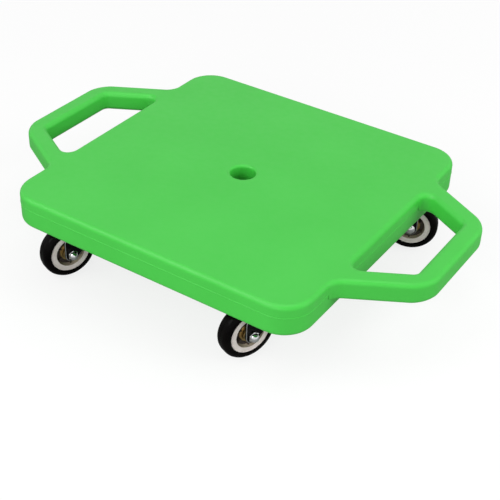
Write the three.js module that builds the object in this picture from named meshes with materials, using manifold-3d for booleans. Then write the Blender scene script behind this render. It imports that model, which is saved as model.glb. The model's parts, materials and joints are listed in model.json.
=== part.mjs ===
// Scooter board: a moulded two-shell deck with two hand grips, carried by four swivel casters.
// Millimetres, +Z up. The origin is on the floor under the middle of the deck.
// X runs along the line through both grips, Y across the deck, and -Y is the front.
import * as THREE from 'three';
import { mergeVertices } from 'three/addons/utils/BufferGeometryUtils.js';
import Module from 'manifold-3d';

// Driving dimensions of the deck
const deckLength = 305;
const deckWidth = 305;
const deckCornerRadius = 28.5;
const upperDepth = 11.5;
const lowerDepth = 19;
const upperEdgeRadius = 4.5;
const lowerEdgeRadius = 4.5;
const deckWall = 4;
const topPlateThickness = 4.5;
const bottomPlateThickness = 4;
const stiffenerThickness = 3;

// Rope hole through the middle of the deck
const ropeHoleRadius = 12.5;
const ropeHoleEdgeRadius = 2;
const ropeSleeveWall = 3.5;

// Hand grips, one past each end of the deck. Each springs from the deck this far in from its sides,
// and its legs close in by the taper on their way out to the bar.
const gripReach = 69;
const gripBarWidth = 18.8;
const gripLegWidth = 21.5;
const gripThickness = 20;
const gripRootInset = 57.6;
const gripTaper = 39.2;
const gripCornerRadius = 28.5;
const gripRootRadius = 14;
const gapBarRadius = 6;
const gapRootRadius = 9;

// How far in from the deck's ends and sides the casters stand, and which way each one trails at
// rest, in degrees from +X
const casterEndInset = 52.5;
const casterSideInset = 57;
const casters = [
  { name: 'front_right', sideX: 1, sideY: -1, trailAngle: -113 },
  { name: 'front_left', sideX: -1, sideY: -1, trailAngle: -112 },
  { name: 'back_right', sideX: 1, sideY: 1, trailAngle: 20 },
  { name: 'back_left', sideX: -1, sideY: 1, trailAngle: 68 },
];

// Wheel and axle
const tyreRadius = 26.4;
const tyreHalfWidth = 8;
const tyreThickness = 6.9;
const tyreShoulderRadius = 5.5;
const tyreLipStep = 0.7;
const rimSetback = 0.9;
const rimRingWidth = 5.2;
const dishSlope = 1.4;
const hubWebHalf = 2.5;
const bossWall = 2.4;
const axleRadius = 3;
const sleeveWall = 1.6;
const axleTrail = 30;

// Fork, and how far its crown and the deck stay clear of the tyre
const forkSheet = 2.2;
const crownThickness = 2.4;
const crownSetback = 1;
const legEyeRadius = 7;
const legLean = 45;
const legBackRise = 17;
const legTopBack = 17;
const forkClearance = 0.9;
const crownClearance = 1.8;
const deckClearance = 6;

// Axle bolt head and cap nut
const boltHeadRadius = 5.2;
const boltHeadHeight = 3.8;
const boltHeadEdge = 1.5;
const nutRadius = 5.2;
const nutHexHeight = 1.8;
const nutDomeRadius = 4.3;
const nutDomeHeight = 4.2;
const nutCapWall = 2.4;

// Swivel bearing
const kingpinRadius = 4.4;
const kingpinHeadRadius = 7;
const kingpinFootHeight = 3.1;
const kingpinHeadHeight = 1.8;
const ballRadius = 1.4;
const ballCount = 6;
const cageHalfWidth = 1.9;
const cageThickness = 0.9;
const cageClearance = 0.9;
const cupRadius = 17;
const cupSkirtWall = 1.6;
const cupSkirtClearance = 0.7;
const cupHeight = 3.3;
const cupEdgeChamfer = 1;

// Mounting plate, its recess in the deck and its screws
const plateLength = 66;
const plateWidth = 50;
const plateThickness = 2.5;
const plateCornerRadius = 6;
const recessMargin = 2;
const blockWall = 4;
const blockCover = 3;
const screwInset = 8;
const screwRadius = 2.3;
const screwHeadRadius = 4;
const screwHeadHeight = 2.4;
const screwHeadEdge = 1;
const screwGrip = 9;
const screwTipLength = 2;

// Clearance that neighbouring pieces keep, and how far a cutting solid runs past what it cuts
const seatGap = 0.3;
const cutOverrun = 5;

// How finely round stretches are stepped
const edgeSteps = 3;
const lowerEdgeSteps = 3;
const cornerSteps = 5;
const gripCornerSteps = 5;
const smallCornerSteps = 3;
const ropeHoleSides = 24;
const tyreSides = 24;
const shoulderSteps = 3;
const hubSides = 20;
const bearingSides = 16;
const axleSides = 12;
const eyeSteps = 6;
const domeSteps = 3;
const screwSides = 8;
const ballSides = 5;
const ballRings = 4;
const hexSides = 6;

// Heights that follow from the sizes above, from the floor up
const axleHeight = tyreRadius * Math.cos(Math.PI / tyreSides);
const tyreHeightAtCrown = Math.sqrt(tyreRadius ** 2 - (axleTrail - legTopBack) ** 2);
const crownBottom = axleHeight + tyreHeightAtCrown + crownClearance;
const crownTop = crownBottom + crownThickness;
const ballHeight = crownTop + seatGap + ballRadius;
const cupBottom = ballHeight + ballRadius + seatGap;
const cupTop = cupBottom + cupHeight;
const plateBottom = cupTop + seatGap;
const plateTop = plateBottom + plateThickness;
const mountFace = plateTop + seatGap;
const deckBottom = axleHeight + tyreRadius + deckClearance;
const seamHeight = deckBottom + lowerDepth;
const deckTop = seamHeight + upperDepth;
const gripBottom = deckTop - gripThickness;
const ceiling = deckTop - topPlateThickness;
const floorOfDeck = deckBottom + bottomPlateThickness;

// Widths and radii that follow
const deckHalfLength = deckLength / 2;
const deckHalfWidth = deckWidth / 2;
const casterX = deckHalfLength - casterEndInset;
const casterY = deckHalfWidth - casterSideInset;
const gripRootHalf = deckHalfWidth - gripRootInset;
const gripBarHalf = gripRootHalf - gripTaper;
const gapReach = gripReach - gripBarWidth;
const gapRootHalf = gripRootHalf - gripLegWidth;
const gapBarHalf = gapRootHalf - (gripTaper * gapReach) / gripReach;
const recessLength = plateLength + 2 * recessMargin;
const recessWidth = plateWidth + 2 * recessMargin;
const blockHalfX = recessLength / 2 + blockWall;
const blockHalfY = recessWidth / 2 + blockWall;
const sleeveRadius = axleRadius + seatGap + sleeveWall;
const hubRadius = tyreRadius - tyreThickness - seatGap;
const hubHalfWidth = tyreHalfWidth - rimSetback;
const dishRadius = hubRadius - rimRingWidth;
const bossRadius = sleeveRadius + seatGap + bossWall;
const forkInnerHalf = tyreHalfWidth + forkClearance;
const forkOuterHalf = forkInnerHalf + forkSheet;
const bossHalfWidth = forkInnerHalf - 2 * seatGap;
const skirtRadius = cupRadius - cupSkirtWall;
const ballCircleRadius = skirtRadius - cageClearance - cageHalfWidth;
const boltEngagement = nutHexHeight + nutDomeHeight - nutCapWall - seatGap;

const wasm = await Module();
wasm.setup();

const materials = {
  deck: { color: 0x5acd5a, roughness: 0.45, metalness: 0 },
  tyre: { color: 0x0c0b0b, roughness: 0.5, metalness: 0 },
  hub: { color: 0xdcd8cf, roughness: 0.4, metalness: 0 },
  fork: { color: 0x121212, roughness: 0.35, metalness: 0.2 },
  zinc: { color: 0xaeb1b3, roughness: 0.35, metalness: 0.9 },
  chrome: { color: 0xe6e8ea, roughness: 0.12, metalness: 1 },
};

// A closed three.js geometry as a solid for joining and cutting
function solidFrom(geometry) {
  geometry.deleteAttribute('normal');
  geometry.deleteAttribute('uv');
  const merged = mergeVertices(geometry);
  const vertProperties = new Float32Array(merged.attributes.position.array);
  const triVerts = new Uint32Array(merged.index.array);
  return new wasm.Manifold(new wasm.Mesh({ numProp: 3, vertProperties, triVerts }));
}

// A solid back as a three.js geometry
function geometryFrom(solid) {
  const mesh = solid.getMesh();
  const geometry = new THREE.BufferGeometry();
  geometry.setAttribute('position', new THREE.BufferAttribute(mesh.vertProperties, 3));
  geometry.setIndex(new THREE.BufferAttribute(mesh.triVerts, 1));
  geometry.computeVertexNormals();
  return geometry;
}

// The points of a closed outline whose corners are rounded by arcs
function roundedOutline(corners) {
  const points = [];
  corners.forEach((corner, index) => {
    const before = corners[(index + corners.length - 1) % corners.length];
    const after = corners[(index + 1) % corners.length];
    const here = new THREE.Vector2(corner.x, corner.y);
    const toBefore = new THREE.Vector2(before.x, before.y).sub(here).normalize();
    const toAfter = new THREE.Vector2(after.x, after.y).sub(here).normalize();
    const halfAngle = toBefore.angleTo(toAfter) / 2;
    const bisector = toBefore.clone().add(toAfter).normalize();
    const centre = here.clone().addScaledVector(bisector, corner.radius / Math.sin(halfAngle));
    const reach = corner.radius / Math.tan(halfAngle);
    const start = here.clone().addScaledVector(toBefore, reach).sub(centre).angle();
    const end = here.clone().addScaledVector(toAfter, reach).sub(centre).angle();
    const sweep = Math.atan2(Math.sin(end - start), Math.cos(end - start));
    for (let step = 0; step <= corner.steps; step += 1) {
      const angle = start + (sweep * step) / corner.steps;
      const x = centre.x + corner.radius * Math.cos(angle);
      const y = centre.y + corner.radius * Math.sin(angle);
      points.push(new THREE.Vector2(x, y));
    }
  });
  return points;
}

// A rectangle with rounded corners, centred on a point
function roundedRectangle(length, width, radius, steps, centreX = 0, centreY = 0) {
  const signs = [[1, 1], [-1, 1], [-1, -1], [1, -1]];
  return roundedOutline(signs.map(([signX, signY]) => ({
    x: centreX + (signX * length) / 2,
    y: centreY + (signY * width) / 2,
    radius,
    steps,
  })));
}

// A circle stepped into straight sides, with a flat facing each axis
function circleOutline(radius, sides, centreX = 0, centreY = 0) {
  const points = [];
  for (let side = 0; side < sides; side += 1) {
    const angle = ((side + 0.5) * 2 * Math.PI) / sides;
    points.push(new THREE.Vector2(centreX + radius * Math.cos(angle), centreY + radius * Math.sin(angle)));
  }
  return points;
}

// An outline with holes raised from one height to another, its edges square
function raised(outline, bottom, top, holes = []) {
  const shape = new THREE.Shape(outline);
  holes.forEach((hole) => shape.holes.push(new THREE.Path(hole)));
  const geometry = new THREE.ExtrudeGeometry(shape, { depth: top - bottom, bevelEnabled: false });
  geometry.translate(0, 0, bottom);
  return geometry;
}

// The same with both edges rounded, inside the outline
function raisedRound(outline, bottom, top, radius, steps, holes = []) {
  const shape = new THREE.Shape(outline);
  holes.forEach((hole) => shape.holes.push(new THREE.Path(hole)));
  const geometry = new THREE.ExtrudeGeometry(shape, {
    depth: top - bottom - 2 * radius,
    bevelEnabled: true,
    bevelThickness: radius,
    bevelSize: radius,
    bevelOffset: -radius,
    bevelSegments: steps,
  });
  geometry.translate(0, 0, bottom + radius);
  return geometry;
}

// A block given by its lowest and highest corners
function block(lowX, lowY, lowZ, highX, highY, highZ) {
  const geometry = new THREE.BoxGeometry(highX - lowX, highY - lowY, highZ - lowZ);
  geometry.translate((lowX + highX) / 2, (lowY + highY) / 2, (lowZ + highZ) / 2);
  return geometry;
}

// A profile of radius and height pairs turned about the vertical axis, a flat facing each axis.
// The profile runs upwards on the outside, and closes on itself unless it starts on the axis.
function turned(profile, sides) {
  const points = profile.map(([radius, height]) => new THREE.Vector2(radius, height));
  if (profile[0][0] > 0) {
    points.push(points[0].clone());
  }
  const geometry = new THREE.LatheGeometry(points, sides, Math.PI / sides);
  geometry.rotateX(Math.PI / 2);
  return geometry;
}

// A turned piece laid with its axis along Y, at the height of the axle
function onAxle(geometry) {
  geometry.rotateX(-Math.PI / 2);
  geometry.translate(axleTrail, 0, axleHeight);
  return geometry;
}

// Points of a quarter arc in a profile, from one angle to another
function profileArc(centreRadius, centreHeight, radius, from, to, steps) {
  const points = [];
  for (let step = 0; step <= steps; step += 1) {
    const angle = from + ((to - from) * step) / steps;
    points.push([centreRadius + radius * Math.cos(angle), centreHeight + radius * Math.sin(angle)]);
  }
  return points;
}

function deckOutline(inset = 0) {
  const radius = deckCornerRadius - inset;
  return roundedRectangle(deckLength - 2 * inset, deckWidth - 2 * inset, radius, cornerSteps);
}

// The deck's outline with both grips
function upperOutline() {
  const quarter = [
    { x: deckHalfLength + gripReach, y: gripBarHalf, radius: gripCornerRadius, steps: gripCornerSteps },
    { x: deckHalfLength, y: gripRootHalf, radius: gripRootRadius, steps: gripCornerSteps },
    { x: deckHalfLength, y: deckHalfWidth, radius: deckCornerRadius, steps: cornerSteps },
  ];
  const flip = (signX, signY) => quarter.map((corner) => (
    { ...corner, x: signX * corner.x, y: signY * corner.y }
  ));
  return roundedOutline([
    ...flip(1, 1),
    ...flip(-1, 1).reverse(),
    ...flip(-1, -1),
    ...flip(1, -1).reverse(),
  ]);
}

// The finger gap of the grip on one side
function gapOutline(side) {
  const barX = side * (deckHalfLength + gapReach);
  const rootX = side * deckHalfLength;
  return roundedOutline([
    { x: barX, y: -gapBarHalf, radius: gapBarRadius, steps: smallCornerSteps },
    { x: barX, y: gapBarHalf, radius: gapBarRadius, steps: smallCornerSteps },
    { x: rootX, y: gapRootHalf, radius: gapRootRadius, steps: cornerSteps },
    { x: rootX, y: -gapRootHalf, radius: gapRootRadius, steps: cornerSteps },
  ]);
}

// The rope hole as a cutting solid, flared at its upper or lower mouth
function ropeBore(mouth, away) {
  const flare = profileArc(
    ropeHoleRadius + ropeHoleEdgeRadius,
    mouth - away * ropeHoleEdgeRadius,
    ropeHoleEdgeRadius,
    Math.PI,
    Math.PI - (away * Math.PI) / 2,
    edgeSteps,
  );
  const outside = mouth + away * cutOverrun;
  const inside = mouth - away * (upperDepth + lowerDepth + cutOverrun);
  const mouthRadius = ropeHoleRadius + ropeHoleEdgeRadius;
  const profile = [[0, inside], [ropeHoleRadius, inside], ...flare, [mouthRadius, outside], [0, outside]];
  if (away < 0) {
    profile.reverse();
  }
  return solidFrom(turned(profile, ropeHoleSides));
}

function deckUpperShell() {
  const spanX = deckLength + 2 * gripReach;
  const gaps = [gapOutline(1), gapOutline(-1)];
  const withGrips = solidFrom(
    raisedRound(upperOutline(), gripBottom, deckTop, upperEdgeRadius, edgeSteps, gaps),
  );
  const skin = solidFrom(
    raisedRound(deckOutline(), seamHeight - 2 * upperEdgeRadius, deckTop, upperEdgeRadius, edgeSteps),
  );
  const belowSeam = solidFrom(
    block(-spanX, -deckWidth, deckBottom - cutOverrun, spanX, deckWidth, seamHeight),
  );
  const underDeck = solidFrom(block(
    -deckHalfLength - seatGap, -deckWidth, deckBottom - cutOverrun,
    deckHalfLength + seatGap, deckWidth, seamHeight,
  ));
  const cavity = solidFrom(raised(deckOutline(deckWall), gripBottom - cutOverrun, ceiling));
  let shell = withGrips.subtract(underDeck).add(skin.subtract(belowSeam)).subtract(cavity);

  // Stiffeners run midway between the rope sleeve and the caster blocks
  const reachX = deckHalfLength - deckWall - seatGap;
  const reachY = deckHalfWidth - deckWall - seatGap;
  const ribBottom = floorOfDeck + seatGap;
  const half = stiffenerThickness / 2;
  const ropeSleeveRadius = ropeHoleRadius + ropeSleeveWall;
  const offsetX = (casterX - blockHalfX + ropeSleeveRadius) / 2;
  const offsetY = (casterY - blockHalfY + ropeSleeveRadius) / 2;
  [-1, 1].forEach((side) => {
    const y = side * offsetY;
    const x = side * offsetX;
    const along = block(-reachX, y - half, ribBottom, reachX, y + half, ceiling + half);
    const across = block(x - half, -reachY, ribBottom, x + half, reachY, ceiling + half);
    shell = shell.add(solidFrom(along)).add(solidFrom(across));
  });
  const sleeve = circleOutline(ropeSleeveRadius, ropeHoleSides);
  shell = shell.add(solidFrom(raised(sleeve, ribBottom, ceiling + half)));
  return geometryFrom(shell.subtract(ropeBore(deckTop, 1)));
}

function deckLowerShell() {
  const outer = solidFrom(
    raisedRound(deckOutline(), deckBottom, seamHeight + 2 * lowerEdgeRadius, lowerEdgeRadius, lowerEdgeSteps),
  );
  const aboveSeam = solidFrom(
    block(-deckLength, -deckWidth, seamHeight - seatGap, deckLength, deckWidth, deckTop + lowerEdgeRadius),
  );
  const cavity = solidFrom(raised(deckOutline(deckWall), floorOfDeck, deckTop));
  let shell = outer.subtract(aboveSeam).subtract(cavity);

  const recessRadius = plateCornerRadius + recessMargin;
  const blockBottom = deckBottom + bottomPlateThickness / 2;
  const blockTop = ceiling - seatGap;
  const below = deckBottom - cutOverrun;
  casters.forEach(({ sideX, sideY }) => {
    const x = sideX * casterX;
    const y = sideY * casterY;
    const mass = block(x - blockHalfX, y - blockHalfY, blockBottom, x + blockHalfX, y + blockHalfY, blockTop);
    const well = block(
      x - recessLength / 2, y - recessWidth / 2, screwTop() + blockCover,
      x + recessLength / 2, y + recessWidth / 2, blockTop + cutOverrun,
    );
    const recess = roundedRectangle(recessLength, recessWidth, recessRadius, smallCornerSteps, x, y);
    const pocket = circleOutline(kingpinHeadRadius + seatGap, axleSides, x, y);
    const pocketTop = plateTop + 2 * seatGap + kingpinHeadHeight + seatGap;
    shell = shell.add(solidFrom(mass));
    shell = shell.subtract(solidFrom(well));
    shell = shell.subtract(solidFrom(raised(recess, below, mountFace)));
    shell = shell.subtract(solidFrom(raised(pocket, below, pocketTop)));
    screwPlaces().forEach(([screwX, screwY]) => {
      const hole = circleOutline(screwRadius + seatGap, screwSides, x + screwX, y + screwY);
      shell = shell.subtract(solidFrom(raised(hole, below, screwTop() + seatGap)));
    });
  });
  return geometryFrom(shell.subtract(ropeBore(deckBottom, -1)));
}

// Screw places on the mounting plate, from its middle
function screwPlaces() {
  const signs = [[1, 1], [-1, 1], [-1, -1], [1, -1]];
  return signs.map(([signX, signY]) => (
    [signX * (plateLength / 2 - screwInset), signY * (plateWidth / 2 - screwInset)]
  ));
}

function screwTop() {
  return mountFace + screwGrip;
}

function mountingPlate() {
  const outline = roundedRectangle(plateLength, plateWidth, plateCornerRadius, smallCornerSteps);
  const holes = screwPlaces().map(([x, y]) => circleOutline(screwRadius + seatGap, screwSides, x, y));
  holes.push(circleOutline(kingpinRadius + seatGap, axleSides));
  return raised(outline, plateBottom, plateTop, holes);
}

function screw() {
  const headTop = plateBottom - seatGap;
  const headBottom = headTop - screwHeadHeight;
  return turned([
    [0, headBottom],
    [screwHeadRadius - screwHeadEdge, headBottom],
    [screwHeadRadius, headBottom + screwHeadEdge],
    [screwHeadRadius, headTop],
    [screwRadius, headTop],
    [screwRadius, screwTop() - screwTipLength],
    [0, screwTop()],
  ], screwSides);
}

function upperRace() {
  const bore = kingpinRadius + seatGap;
  const skirtBottom = crownTop + cupSkirtClearance;
  return turned([
    [bore, cupBottom],
    [skirtRadius, cupBottom],
    [skirtRadius, skirtBottom],
    [cupRadius, skirtBottom],
    [cupRadius, cupTop - cupEdgeChamfer],
    [cupRadius - cupEdgeChamfer, cupTop],
    [bore, cupTop],
  ], bearingSides);
}

// Balls held in a flat ring cage
function ballRing() {
  let ring = solidFrom(turned([
    [ballCircleRadius - cageHalfWidth, ballHeight - cageThickness / 2],
    [ballCircleRadius + cageHalfWidth, ballHeight - cageThickness / 2],
    [ballCircleRadius + cageHalfWidth, ballHeight + cageThickness / 2],
    [ballCircleRadius - cageHalfWidth, ballHeight + cageThickness / 2],
  ], bearingSides));
  for (let index = 0; index < ballCount; index += 1) {
    const angle = (2 * Math.PI * index) / ballCount;
    const ball = new THREE.SphereGeometry(ballRadius, ballSides, ballRings);
    ball.rotateX(Math.PI / 2);
    ball.translate(ballCircleRadius * Math.cos(angle), ballCircleRadius * Math.sin(angle), ballHeight);
    ring = ring.add(solidFrom(ball));
  }
  return geometryFrom(ring);
}

function kingpin() {
  const footTop = crownBottom - seatGap;
  const headBottom = plateTop + seatGap;
  return turned([
    [0, footTop - kingpinFootHeight],
    [kingpinHeadRadius - kingpinFootHeight / 2, footTop - kingpinFootHeight],
    [kingpinHeadRadius, footTop - kingpinFootHeight / 2],
    [kingpinHeadRadius, footTop],
    [kingpinRadius, footTop],
    [kingpinRadius, headBottom],
    [kingpinHeadRadius, headBottom],
    [kingpinHeadRadius, headBottom + kingpinHeadHeight],
    [0, headBottom + kingpinHeadHeight],
  ], axleSides);
}

// One leg's side view: height along Y here, distance behind the kingpin along X.
// Its front edge leans forward from the eye round the axle up to the crown.
function legOutline() {
  const lean = THREE.MathUtils.degToRad(legLean);
  const eyeX = axleTrail - legEyeRadius * Math.cos(lean);
  const eyeZ = axleHeight - legEyeRadius * Math.sin(lean);
  const points = [
    new THREE.Vector2(eyeX - (crownTop - eyeZ) * Math.tan(lean), crownTop),
  ];
  for (let step = 0; step <= eyeSteps; step += 1) {
    const angle = (lean - Math.PI) * (1 - step / eyeSteps);
    const x = axleTrail + legEyeRadius * Math.cos(angle);
    points.push(new THREE.Vector2(x, axleHeight + legEyeRadius * Math.sin(angle)));
  }
  points.push(new THREE.Vector2(axleTrail + legEyeRadius, axleHeight + legBackRise));
  points.push(new THREE.Vector2(legTopBack, crownTop));
  return points;
}

function fork() {
  const legFront = legOutline()[0].x;
  const crownRadius = cupRadius - crownSetback;
  const crownDisc = solidFrom(raised(circleOutline(crownRadius, bearingSides), crownBottom, crownTop));
  const crownBridge = solidFrom(
    block(legFront, -forkOuterHalf, crownBottom, legTopBack, forkOuterHalf, crownTop),
  );
  let body = crownDisc.add(crownBridge);
  [-1, 1].forEach((side) => {
    const axleHole = circleOutline(axleRadius + seatGap, axleSides, axleTrail, axleHeight);
    const leg = raised(legOutline(), forkInnerHalf, forkOuterHalf, [axleHole]);
    leg.rotateX(Math.PI / 2);
    if (side > 0) {
      leg.translate(0, forkInnerHalf + forkOuterHalf, 0);
    }
    body = body.add(solidFrom(leg));
  });
  const pinHole = raised(
    circleOutline(kingpinRadius + seatGap, axleSides), crownBottom - cutOverrun, crownTop + cutOverrun,
  );
  return geometryFrom(body.subtract(solidFrom(pinHole)));
}

// The bolt's length along its own axis becomes Y once it is laid on the axle
function axleBolt() {
  const headTop = -forkOuterHalf - seatGap;
  const tip = forkOuterHalf + seatGap + boltEngagement;
  return onAxle(turned([
    [0, headTop - boltHeadHeight],
    [boltHeadRadius - boltHeadEdge, headTop - boltHeadHeight],
    [boltHeadRadius, headTop - boltHeadHeight + boltHeadEdge],
    [boltHeadRadius, headTop],
    [axleRadius, headTop],
    [axleRadius, tip],
    [0, tip],
  ], axleSides));
}

function axleNut() {
  const base = forkOuterHalf + seatGap;
  const hexTop = base + nutHexHeight;
  const bore = axleRadius + seatGap;
  const hex = solidFrom(raised(circleOutline(nutRadius, hexSides), base, hexTop));
  const domeProfile = [
    [0, base + nutHexHeight / 2],
    [nutDomeRadius, base + nutHexHeight / 2],
  ];
  for (let step = 0; step < domeSteps; step += 1) {
    const angle = (Math.PI / 2) * (step / domeSteps);
    domeProfile.push([nutDomeRadius * Math.cos(angle), hexTop + nutDomeHeight * Math.sin(angle)]);
  }
  domeProfile.push([0, hexTop + nutDomeHeight]);
  const dome = solidFrom(turned(domeProfile, axleSides));
  const thread = solidFrom(raised(
    circleOutline(bore, axleSides), base - cutOverrun, base + boltEngagement + seatGap,
  ));
  return onAxle(geometryFrom(hex.add(dome).subtract(thread)));
}

function axleSleeve() {
  const half = forkInnerHalf - seatGap;
  return onAxle(turned([
    [axleRadius + seatGap, -half],
    [sleeveRadius, -half],
    [sleeveRadius, half],
    [axleRadius + seatGap, half],
  ], axleSides));
}

// A dished hub: boss on the sleeve, thin web and the rim ring under the tyre
function wheelHub() {
  const bore = sleeveRadius + seatGap;
  const half = [
    [bore, bossHalfWidth],
    [bossRadius, bossHalfWidth],
    [bossRadius, hubWebHalf],
    [dishRadius - dishSlope, hubWebHalf],
    [dishRadius, hubHalfWidth],
    [hubRadius, hubHalfWidth],
  ];
  const lower = half.map(([radius, height]) => [radius, -height]);
  return onAxle(turned([...lower, ...half.reverse()], hubSides));
}

function tyre() {
  const crown = tyreRadius - tyreShoulderRadius;
  const arcHeight = tyreHalfWidth - tyreShoulderRadius;
  const seat = hubRadius + seatGap;
  return onAxle(turned([
    [seat, tyreLipStep - tyreHalfWidth],
    ...profileArc(crown, -arcHeight, tyreShoulderRadius, -Math.PI / 2, 0, shoulderSteps),
    ...profileArc(crown, arcHeight, tyreShoulderRadius, 0, Math.PI / 2, shoulderSteps),
    [seat, tyreHalfWidth - tyreLipStep],
  ], tyreSides));
}

function namedMesh(name, geometry, material) {
  const mesh = new THREE.Mesh(geometry, new THREE.MeshStandardMaterial(materials[material]));
  mesh.name = name;
  return mesh;
}

const fixedPieces = {
  top_plate: [mountingPlate(), 'zinc'],
  upper_race: [upperRace(), 'zinc'],
  ball_ring: [ballRing(), 'zinc'],
  kingpin: [kingpin(), 'zinc'],
};
const swivelPieces = {
  fork: [fork(), 'fork'],
  axle_bolt: [axleBolt(), 'chrome'],
  axle_nut: [axleNut(), 'chrome'],
  axle_sleeve: [axleSleeve(), 'zinc'],
  wheel_hub: [wheelHub(), 'hub'],
  tyre: [tyre(), 'tyre'],
};
const screwGeometry = screw();

function caster({ name, sideX, sideY, trailAngle }) {
  const whole = new THREE.Group();
  whole.position.set(sideX * casterX, sideY * casterY, 0);
  Object.entries(fixedPieces).forEach(([piece, [geometry, material]]) => {
    whole.add(namedMesh(`${name}_${piece}`, geometry, material));
  });
  screwPlaces().forEach(([x, y], index) => {
    const mesh = namedMesh(`${name}_screw_${index + 1}`, screwGeometry, 'zinc');
    mesh.position.set(x, y, 0);
    whole.add(mesh);
  });
  const swivel = new THREE.Group();
  swivel.rotation.z = THREE.MathUtils.degToRad(trailAngle);
  Object.entries(swivelPieces).forEach(([piece, [geometry, material]]) => {
    swivel.add(namedMesh(`${name}_${piece}`, geometry, material));
  });
  whole.add(swivel);
  return whole;
}

const scooterBoard = new THREE.Group();
scooterBoard.add(namedMesh('deck_upper_shell', deckUpperShell(), 'deck'));
scooterBoard.add(namedMesh('deck_lower_shell', deckLowerShell(), 'deck'));
casters.forEach((place) => scooterBoard.add(caster(place)));

export default scooterBoard;
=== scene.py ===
# Scooter board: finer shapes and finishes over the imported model, in metres and in its own frame.
import json
import math

import bmesh
import bpy
from mathutils import Matrix, Vector


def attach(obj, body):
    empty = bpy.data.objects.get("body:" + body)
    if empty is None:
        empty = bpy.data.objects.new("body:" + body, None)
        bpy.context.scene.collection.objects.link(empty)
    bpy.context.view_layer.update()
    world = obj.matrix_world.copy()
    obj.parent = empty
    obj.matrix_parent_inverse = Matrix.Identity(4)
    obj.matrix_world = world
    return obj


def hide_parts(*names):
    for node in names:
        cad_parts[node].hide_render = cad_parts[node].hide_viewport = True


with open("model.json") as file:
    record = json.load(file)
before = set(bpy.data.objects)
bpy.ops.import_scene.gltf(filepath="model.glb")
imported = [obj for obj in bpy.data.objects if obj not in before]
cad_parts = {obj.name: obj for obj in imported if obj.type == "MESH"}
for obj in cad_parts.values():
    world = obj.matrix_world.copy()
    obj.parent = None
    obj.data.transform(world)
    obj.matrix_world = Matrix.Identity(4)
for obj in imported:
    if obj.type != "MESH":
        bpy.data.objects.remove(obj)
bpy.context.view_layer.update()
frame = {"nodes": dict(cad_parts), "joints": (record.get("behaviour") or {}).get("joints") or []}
print("frame loaded with", len(frame["nodes"]), "nodes")

mm = 0.001


# Camera: in front of the right hand grip, looking down over the deck
photoView = {
    "place": (0.4774, -0.7309, 0.6228),
    "lookDown": 35.47,  # degrees below the horizon
    "turnLeft": 32.55,  # degrees from looking along +Y
    "lean": 2.08,       # degrees, the camera was not quite level
    "lens": 79.33,
    "sensor": 36,
}


def makeCamera():
    lens = bpy.data.cameras.new("photoCamera")
    lens.lens = photoView["lens"]
    lens.sensor_width = photoView["sensor"]
    camera = bpy.data.objects.new("photoCamera", lens)
    camera.location = photoView["place"]
    turn = Matrix.Rotation(math.radians(photoView["turnLeft"]), 4, "Z")
    tilt = Matrix.Rotation(math.radians(90 - photoView["lookDown"]), 4, "X")
    lean = Matrix.Rotation(math.radians(photoView["lean"]), 4, "Z")
    camera.rotation_euler = (turn @ tilt @ lean).to_euler()
    bpy.context.scene.collection.objects.link(camera)
    bpy.context.scene.camera = camera


makeCamera()
print("camera placed")


# Finishes. In their dictionaries, tint gives (place along the pattern, sRGB hex) stops and rough the
# lowest and highest roughness. A noise pattern is (size of its lumps in mm, detail, roughness), and
# heights are in mm.
noiseSpan = (0.3, 0.7)  # nearly all of a noise's values lie between these


def colour(hexCode):
    # sRGB hex to the linear values that the sockets take
    parts = [int(hexCode[i:i + 2], 16) / 255 for i in (1, 3, 5)]
    return [p / 12.92 if p <= 0.04045 else ((p + 0.055) / 1.055) ** 2.4 for p in parts] + [1]


def perMetre(millimetres):
    # Noise scale whose lumps are about this many millimetres across
    return 1000 / millimetres


def addNode(tree, kind, settings=None, links=None):
    node = tree.nodes.new(kind)
    for name, value in (settings or {}).items():
        if isinstance(name, int) or name in node.inputs:
            node.inputs[name].default_value = value
        else:
            setattr(node, name, value)
    for name, source in (links or {}).items():
        tree.links.new(source, node.inputs[name])
    return node


def startMaterial(name, settings, look, patterns):
    # A bare shader, and the look's noise patterns on Object coordinates
    material = bpy.data.materials.new(name)
    material.use_nodes = True
    tree = material.node_tree
    tree.nodes.clear()
    place = addNode(tree, "ShaderNodeTexCoord").outputs["Object"]
    shader = addNode(tree, "ShaderNodeBsdfPrincipled", settings)
    addNode(tree, "ShaderNodeOutputMaterial", links={"Surface": shader.outputs["BSDF"]})
    made = []
    for size, detail, roughness in [look[pattern] for pattern in patterns]:
        noise = addNode(tree, "ShaderNodeTexNoise", {
            "Scale": perMetre(size), "Detail": detail, "Roughness": roughness,
        }, {"Vector": place})
        made.append(noise.outputs["Fac"])
    return material, shader, made


def dressShader(material, shader, look, tintBy, roughBy=None, relief=()):
    # Colour and roughness drift along patterns, and relief has (pattern, height) layers, the finest first
    tree = material.node_tree
    ramp = addNode(tree, "ShaderNodeValToRGB", links={"Fac": tintBy})
    stops = ramp.color_ramp.elements
    while len(stops) < len(look["tint"]):
        stops.new(0.5)
    for stop, (position, hexCode) in zip(stops, look["tint"]):
        stop.position = position
        stop.color = colour(hexCode)
    tree.links.new(ramp.outputs["Color"], shader.inputs["Base Color"])
    if roughBy is not None:
        sheen = addNode(tree, "ShaderNodeMapRange", {
            "From Min": noiseSpan[0], "From Max": noiseSpan[1],
            "To Min": look["rough"][0], "To Max": look["rough"][1],
        }, {"Value": roughBy})
        tree.links.new(sheen.outputs["Result"], shader.inputs["Roughness"])
    under = {}
    for pattern, height in relief:
        bump = addNode(tree, "ShaderNodeBump", {"Distance": height * mm}, {"Height": pattern, **under})
        under = {"Normal": bump.outputs["Normal"]}
    for socket, source in under.items():
        tree.links.new(source, shader.inputs[socket])
    return material


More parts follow.
